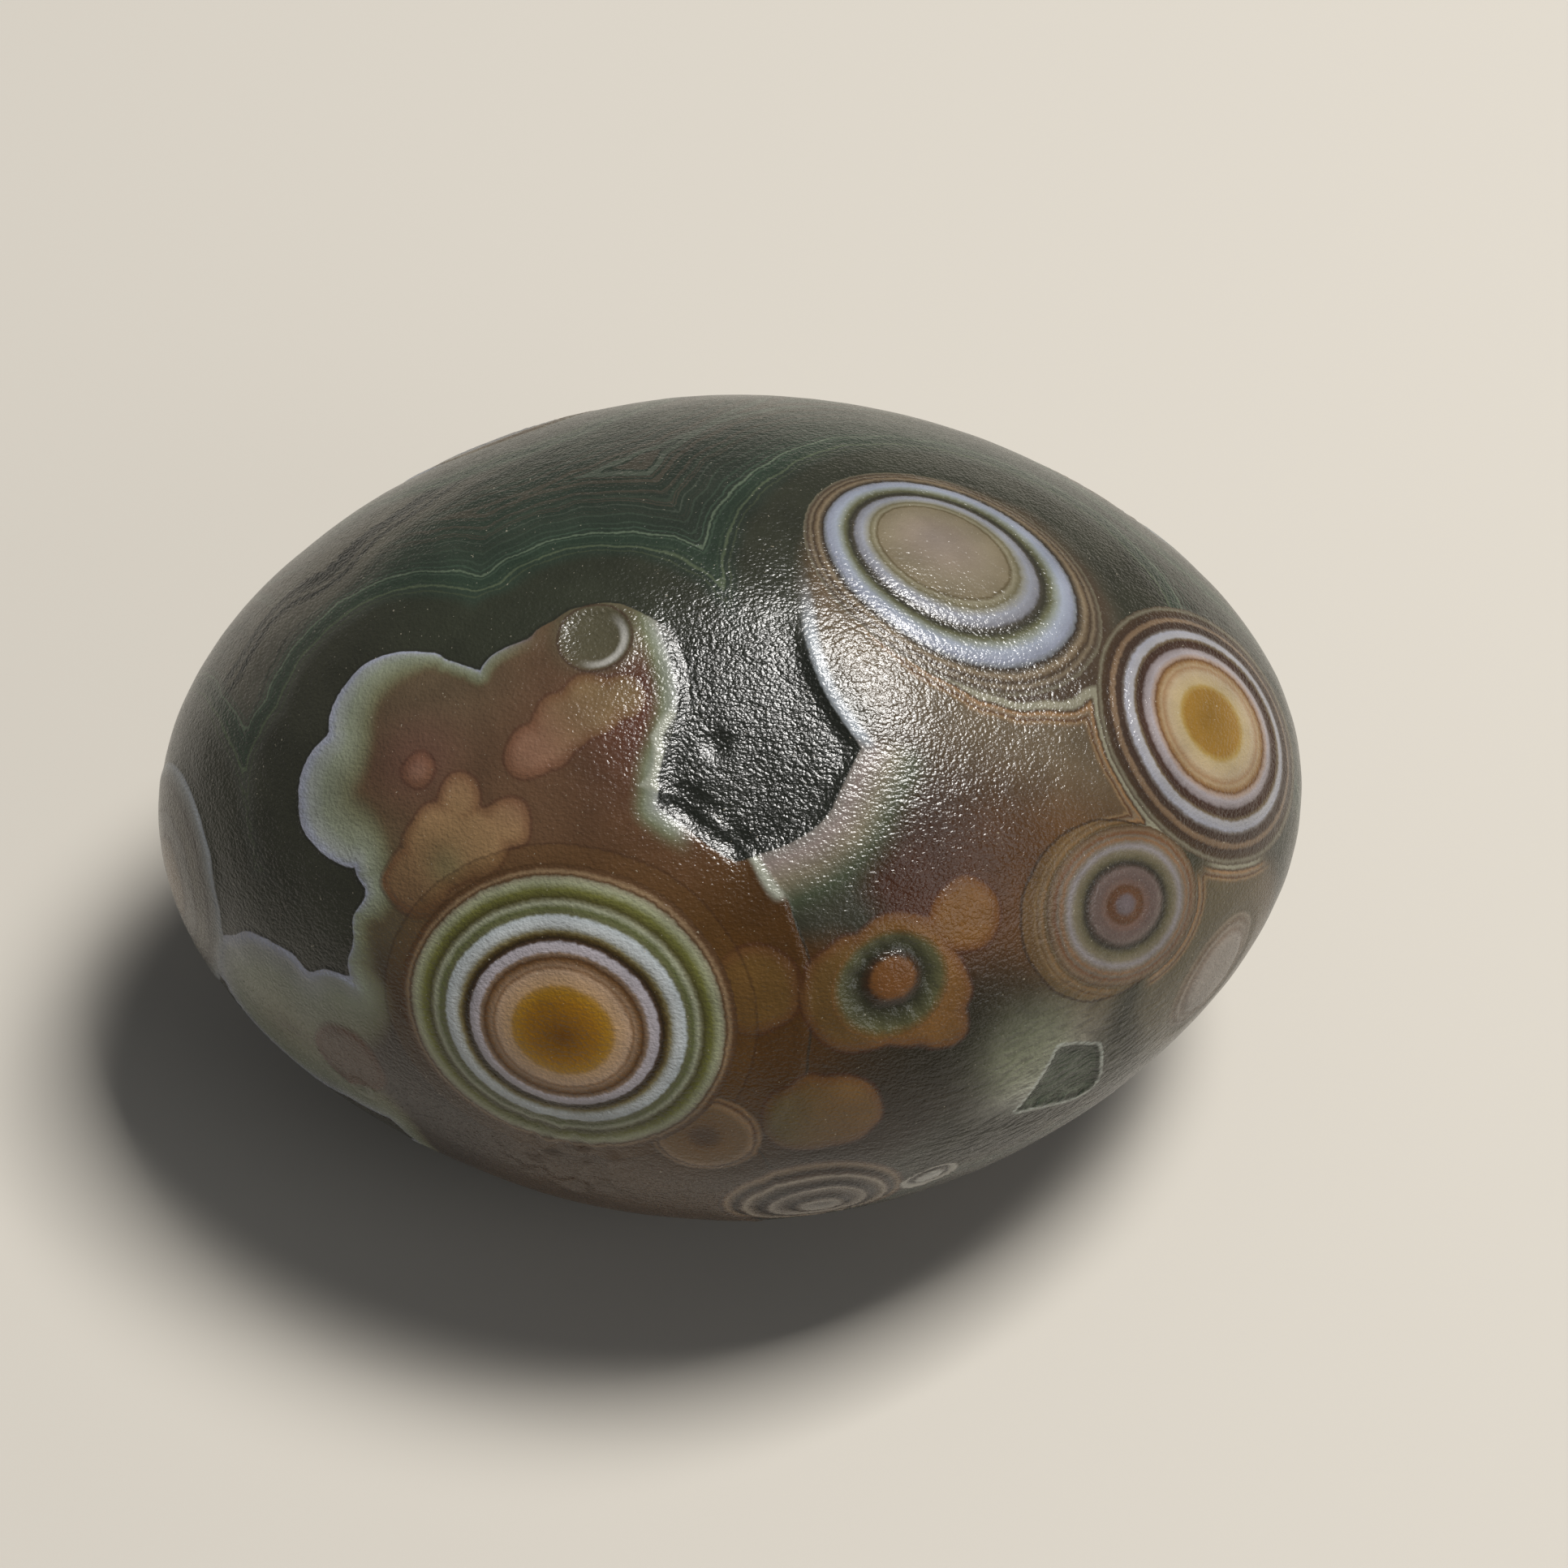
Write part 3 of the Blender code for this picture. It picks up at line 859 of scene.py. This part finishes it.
# Bay, its pale rims and the window low on the right
bay_edge = frayed("bay", 0.6)
pink = bands(bay_edge, [
    (0.0, (112, 106, 100)), (0.35, (124, 112, 106)), (0.9, (110, 102, 84)), (1.5, (66, 74, 54)),
    (2.5, (44, 40, 26)),
])
pink_mask = reckon("MULTIPLY", within(bay_edge, 1.7, 1.4), field("pink_side"))
tint = over(tint, pink, pink_mask, beyond(left, 0.0, 0.10))
tint = over(tint, colour((146, 152, 158)), line_at(bay_edge, 0.18, 0.34), field("white_side"))
crease = bands(bay_edge, [
    (0.0, (138, 140, 136)), (0.18, (128, 132, 120)), (0.45, (104, 108, 84)), (0.9, (86, 76, 54)),
])
crease_mask = reckon("MULTIPLY", within(bay_edge, 0.6, 0.6), field("left_side"))
tint = over(tint, crease, crease_mask, within(left, 0.0, 0.1))
great_rim = reckon("MULTIPLY", line_at(left, -0.12, 0.26), within(bay_edge, 1.3, 0.3))
tint = over(tint, colour((146, 148, 134)), great_rim, field("rim_side"))
tint = over(tint, colour((26, 28, 22)), within(bay_edge, 0.0, 0.07), field("bay_cover"))
window_edge = frayed("window", 0.6)
tint = over(tint, colour((70, 78, 62)), within(window_edge, 0.0, 0.10))
# Painted highlight as a pale line along the window's raised rim, and painted shade as a dark line just
# inside it
tint = over(tint, colour((162, 166, 156)), line_at(window_edge, 0.06, 0.11), 0.85)
tint = over(tint, colour((34, 38, 28)), line_at(window_edge, -0.07, 0.10), 0.7)

# Thin lines shared by the three eyes on the right
shared = frayed("shared_front", 0.8)
shared_tone = bands(shared, [
    (0.0, (66, 54, 42)), (0.08, (128, 124, 106)), (0.20, (126, 122, 104)), (0.27, (66, 50, 34)),
    (0.34, (130, 100, 68)), (0.42, (114, 98, 78)), (0.50, (80, 54, 32)), (0.56, (124, 102, 74)),
    (0.64, (100, 80, 58)), (0.72, (80, 64, 46)),
])
tint = over(tint, shared_tone, within(shared, 0.62, 0.2), within(right, -0.5, 0.6))
halo = frayed("grey_halo", 0.8)
tint = over(tint, colour((92, 72, 42)), within(halo, 2.80, 0.10), 0.6)
tint = over(tint, colour((50, 36, 22)), line_at(halo, 2.82, 0.08), 0.8)

# Rings of the eyes: millimetres from the heart and tone
RINGS = {
    "far_eyes": (4.3, [
        (0.0, (140, 108, 58)), (1.0, (146, 118, 66)), (1.3, (160, 140, 110)), (1.7, (152, 132, 106)),
        (1.9, (112, 84, 52)), (2.1, (140, 118, 90)), (2.35, (128, 128, 130)), (2.65, (118, 112, 112)),
        (2.78, (66, 46, 34)), (3.0, (84, 64, 44)), (3.1, (126, 128, 130)), (3.35, (118, 120, 120)),
        (3.5, (64, 50, 38)), (3.8, (112, 96, 74)), (4.0, (64, 50, 36)), (4.2, (100, 92, 74)),
        (4.3, (64, 52, 38)),
    ]),
    "edge_eye": (2.05, [
        (0.0, (132, 122, 112)), (1.25, (136, 126, 116)), (1.45, (112, 96, 82)), (1.6, (132, 120, 106)),
        (1.8, (96, 80, 64)), (1.95, (116, 104, 88)), (2.05, (88, 78, 60)),
    ]),
    "front_eye": (2.70, [
        (0.0, (104, 98, 92)), (0.29, (136, 130, 122)), (0.52, (160, 152, 142)), (0.67, (88, 74, 62)),
        (0.78, (34, 24, 19)), (0.94, (74, 62, 52)), (1.15, (118, 108, 98)), (1.36, (156, 146, 134)),
        (1.47, (62, 46, 36)), (1.61, (34, 24, 18)), (1.84, (90, 76, 62)), (2.02, (152, 140, 124)),
        (2.14, (72, 54, 40)), (2.28, (42, 30, 22)), (2.50, (130, 110, 88)), (2.60, (86, 64, 46)),
        (2.70, (58, 42, 30)),
    ]),
    "small_eye": (0.95, [
        (0.0, (184, 182, 176)), (0.4, (196, 194, 186)), (0.50, (104, 98, 90)), (0.60, (38, 32, 27)),
        (0.72, (170, 166, 156)), (0.84, (188, 184, 174)), (0.95, (90, 82, 70)),
    ]),
    "amber_eye": (1.62, [
        (0.0, (64, 40, 17)), (0.35, (76, 50, 22)), (0.55, (98, 70, 36)), (1.1, (106, 80, 48)),
        (1.30, (126, 100, 72)), (1.40, (74, 50, 30)), (1.50, (116, 90, 62)), (1.62, (58, 40, 24)),
    ]),
    "ring_pit": (1.72, [
        (0.0, (112, 72, 34)), (0.60, (108, 70, 34)), (0.76, (56, 38, 22)), (0.95, (46, 44, 30)),
        (1.2, (62, 62, 42)), (1.45, (78, 76, 50)), (1.60, (92, 74, 40)), (1.72, (100, 70, 34)),
    ]),
    "grey_eye": (2.72, [
        (0.0, (108, 96, 98)), (0.28, (98, 86, 86)), (0.42, (92, 62, 42)), (0.62, (86, 58, 38)),
        (0.74, (104, 82, 72)), (0.95, (92, 76, 70)), (1.22, (96, 82, 76)), (1.34, (62, 52, 44)),
        (1.45, (50, 46, 38)), (1.62, (84, 78, 58)), (1.82, (104, 96, 78)), (2.0, (122, 116, 116)),
        (2.14, (106, 96, 84)), (2.26, (112, 84, 58)), (2.36, (100, 88, 74)), (2.46, (96, 66, 42)),
        (2.58, (104, 86, 66)), (2.72, (72, 54, 34)),
    ]),
    "right_eye": (4.42, [
        (0.0, (124, 92, 36)), (1.08, (136, 102, 42)), (1.24, (150, 124, 68)), (1.36, (162, 144, 108)),
        (1.75, (160, 142, 114)), (1.95, (140, 112, 82)), (2.05, (150, 128, 98)), (2.18, (126, 96, 62)),
        (2.26, (98, 68, 40)), (2.36, (146, 126, 112)), (2.50, (148, 140, 142)), (2.66, (128, 118, 118)),
        (2.76, (62, 44, 36)), (2.96, (58, 40, 30)), (3.06, (96, 82, 62)), (3.14, (148, 146, 148)),
        (3.38, (142, 142, 150)), (3.46, (92, 84, 78)), (3.54, (56, 42, 34)), (3.72, (60, 46, 36)),
        (3.80, (112, 92, 72)), (3.90, (104, 84, 64)), (3.98, (56, 42, 32)), (4.20, (62, 48, 34)),
        (4.30, (104, 98, 82)), (4.42, (66, 54, 40)),
    ]),
    "upper_eye": (4.62, [
        (0.0, (134, 122, 112)), (0.9, (128, 116, 102)), (1.5, (120, 110, 92)), (1.95, (112, 102, 82)),
        (2.02, (84, 74, 52)), (2.12, (122, 116, 96)), (2.26, (96, 90, 68)), (2.36, (124, 122, 112)),
        (2.55, (130, 132, 140)), (2.76, (112, 112, 118)), (2.86, (60, 56, 48)), (3.0, (48, 46, 36)),
        (3.16, (86, 86, 64)), (3.30, (122, 126, 118)), (3.48, (138, 144, 156)), (3.74, (128, 132, 146)),
        (3.86, (104, 106, 110)), (3.93, (46, 38, 30)), (4.02, (78, 68, 54)), (4.12, (116, 102, 82)),
        (4.20, (90, 76, 58)), (4.28, (60, 48, 36)), (4.38, (108, 96, 78)), (4.48, (66, 54, 42)),
        (4.62, (100, 94, 78)),
    ]),
    "great_eye": (4.86, [
        (0.0, (96, 59, 5)), (1.0, (138, 95, 15)), (1.30, (152, 111, 27)), (1.42, (154, 116, 50)),
        (1.54, (174, 142, 106)), (1.90, (170, 142, 116)), (2.0, (124, 94, 66)), (2.07, (138, 112, 88)),
        (2.20, (110, 80, 50)), (2.28, (82, 54, 26)), (2.40, (128, 106, 86)), (2.48, (172, 164, 168)),
        (2.70, (158, 152, 158)), (2.76, (66, 50, 36)), (2.84, (40, 28, 12)), (2.94, (74, 60, 27)),
        (3.03, (118, 108, 74)), (3.13, (156, 158, 152)), (3.22, (176, 180, 180)), (3.44, (166, 172, 174)),
        (3.52, (92, 92, 64)), (3.66, (88, 92, 56)), (3.80, (142, 144, 122)), (3.88, (104, 102, 78)),
        (3.96, (66, 62, 28)), (4.16, (100, 100, 50)), (4.36, (144, 146, 118)), (4.48, (132, 128, 106)),
        (4.56, (76, 54, 32)), (4.64, (126, 104, 78)), (4.74, (84, 60, 38)), (4.86, (72, 50, 28)),
    ]),
}
great = frayed("great_eye")
tint = over(tint, colour((88, 62, 30)), within(great, 5.35, 0.06), 0.35)
tint = over(tint, colour((56, 36, 20)), line_at(great, 5.38, 0.07), 0.45)
for name, (reach, stops) in RINGS.items():
    radius = frayed(name)
    tint = over(tint, bands(radius, stops), within(radius, reach, 0.06))

# Painted shade between the wrinkles along the lower right edge, and painted highlights on their tops
wrinkled = field("wrinkled")
wrinkle = grain(0.24, 1.5, 0.5, (0.4, 0.7, 1.7))
between = reckon("MULTIPLY", within(wrinkle, 0.44, 0.14), wrinkled)
tint = over(tint, colour((24, 20, 14)), between, 0.45)
painted_wrinkle_highlight = reckon("MULTIPLY", beyond(wrinkle, 0.58, 0.14), wrinkled)
tint = over(tint, colour((150, 148, 136)), painted_wrinkle_highlight, 0.14)

# Soft clouds of light and dark, and fine pale specks
clouds = {0: 1.0, 6: tint, 7: ranged(grain(1.6, 3.0), 0.70, 0.96)}
tint = node("ShaderNodeMix", clouds, 2, data_type="RGBA", blend_type="MULTIPLY")
tint = over(tint, colour((176, 168, 150)), beyond(grain(0.10, 1.0), 0.77, 0.04), 0.4)
tree.links.new(tint, shader.inputs["Base Color"])

# Leathery grain, with heights in millimetres
LEATHER_HEIGHT = 0.031
LUMP_HEIGHT = 0.020
WRINKLE_HEIGHT = 0.12
leather = grain(0.098, 1.5, 0.5, (0.85, 1.0, 1.2))
lumps = grain(0.34, 2.0, 0.5, (0.7, 1.0, 1.3))
leather_relief = reckon("MULTIPLY", leather, LEATHER_HEIGHT)
height = reckon("ADD", leather_relief, reckon("MULTIPLY", lumps, LUMP_HEIGHT))
height = reckon("MULTIPLY_ADD", reckon("MULTIPLY", wrinkle, wrinkled), WRINKLE_HEIGHT, height)
bumped = node("ShaderNodeBump", {"Strength": 1.0, "Distance": MM, "Height": height}, "Normal")
tree.links.new(bumped, shader.inputs["Normal"])
tree.links.new(ranged(leather, 0.18, 0.30), shader.inputs["Roughness"])
shader.inputs["IOR"].default_value = 1.54
shader.inputs["Specular IOR Level"].default_value = 0.42

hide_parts("agate_pebble")
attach(stone, "root")


# Floor and light
# A plain pale matt floor. A large soft window of light hangs high over the right, a faint one lower
# at the front right, and the room round them is even and pale.
FLOOR_SIDE = 1.2
floor_mesh = bpy.data.meshes.new("floor")
half = FLOOR_SIDE / 2.0
floor_mesh.from_pydata(
    [(-half, -half, 0.0), (half, -half, 0.0), (half, half, 0.0), (-half, half, 0.0)],
    [], [(0, 1, 2, 3)],
)
floor = bpy.data.objects.new("floor", floor_mesh)
bpy.context.scene.collection.objects.link(floor)
floor_material = bpy.data.materials.new("pale_floor")
floor_material.use_nodes = True
floor_shader = floor_material.node_tree.nodes["Principled BSDF"]
floor_shader.inputs["Base Color"].default_value = colour((188, 183, 174))
floor_shader.inputs["Roughness"].default_value = 0.85
floor_mesh.materials.append(floor_material)


def soft_light(name, place, side, power, tone):
    """Square area light that faces the stone."""
    light = bpy.data.objects.new(name, bpy.data.lights.new(name, "AREA"))
    light.data.size = side
    light.data.energy = power
    light.data.color = tone
    light.location = Vector(place)
    aim = Vector((0.0, 0.0, 0.01)) - light.location
    light.rotation_euler = aim.to_track_quat("-Z", "Y").to_euler()
    bpy.context.scene.collection.objects.link(light)


soft_light("window", (0.150, 0.055, 0.42), 0.14, 2.7, (1.0, 0.98, 0.95))
soft_light("fill", (0.24, -0.20, 0.22), 0.16, 0.15, (0.98, 0.99, 1.0))

world = bpy.data.worlds.new("room")
world.use_nodes = True
world.node_tree.nodes["Background"].inputs["Color"].default_value = (0.93, 0.96, 1.0, 1.0)
world.node_tree.nodes["Background"].inputs["Strength"].default_value = 0.13
bpy.context.scene.world = world
bpy.context.scene.view_settings.view_transform = "Standard"
